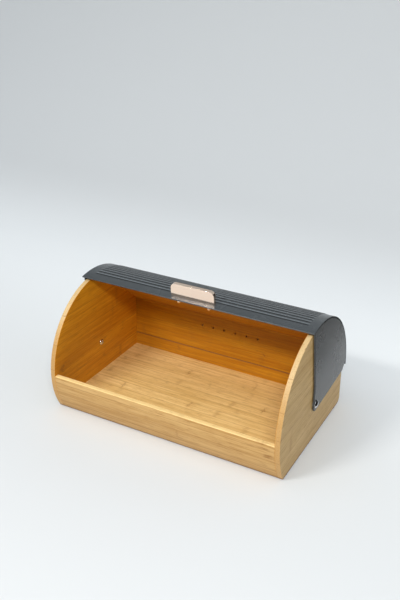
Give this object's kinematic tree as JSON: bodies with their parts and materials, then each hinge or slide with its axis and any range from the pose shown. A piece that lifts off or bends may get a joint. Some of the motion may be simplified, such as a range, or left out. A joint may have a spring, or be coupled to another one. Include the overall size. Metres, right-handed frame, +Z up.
{
  "type": "bread box",
  "caption": "Roll-top bread box: bamboo body with rounded ends and a ribbed grey steel lid that swings back on two side pivots, with a copper-coloured cup pull.",
  "frame": {"origin": "on the table, under the middle of the box with its lid wide open", "axes": "+X along the hinge axis towards the right-hand side panel, +Y from the open front to the back, +Z up"},
  "size_m": [0.404, 0.259, 0.2206],
  "materials": {
    "bamboo": "clear satin lacquer over caramel bamboo",
    "dowel_wood": "plain beech",
    "grey_steel": "satin dark grey powder coat",
    "copper": "brushed rose copper plating",
    "chrome": "polished",
    "nylon": "natural nylon",
    "rubber": "matte"
  },
  "bodies": {
    "base": {"left_side_panel": "bamboo", "right_side_panel": "bamboo", "floor_board": "bamboo", "front_rail": "bamboo", "lower_back_board": "bamboo", "upper_back_board": "bamboo", "rear_top_board": "bamboo", "front_rail_dowels": "dowel_wood", "floor_dowels": "dowel_wood", "back_board_dowels": "dowel_wood", "top_board_dowels": "dowel_wood", "rubber_feet": "rubber", "hinge_bolts": "chrome", "hinge_spacers": "nylon", "hinge_nuts": "chrome"},
    "lid": {"lid_shell": "grey_steel", "left_lid_cheek": "grey_steel", "right_lid_cheek": "grey_steel", "handle": "copper", "handle_washers": "copper", "handle_cap_nuts": "copper"}
  },
  "joints": [
    {"name": "lid_hinge", "type": "hinge", "parent": "base", "child": "lid", "pos_m": [0, -0.00349, 0.0667], "axis": [1, 0, 0], "range_deg": [0, 80]}
  ]
}
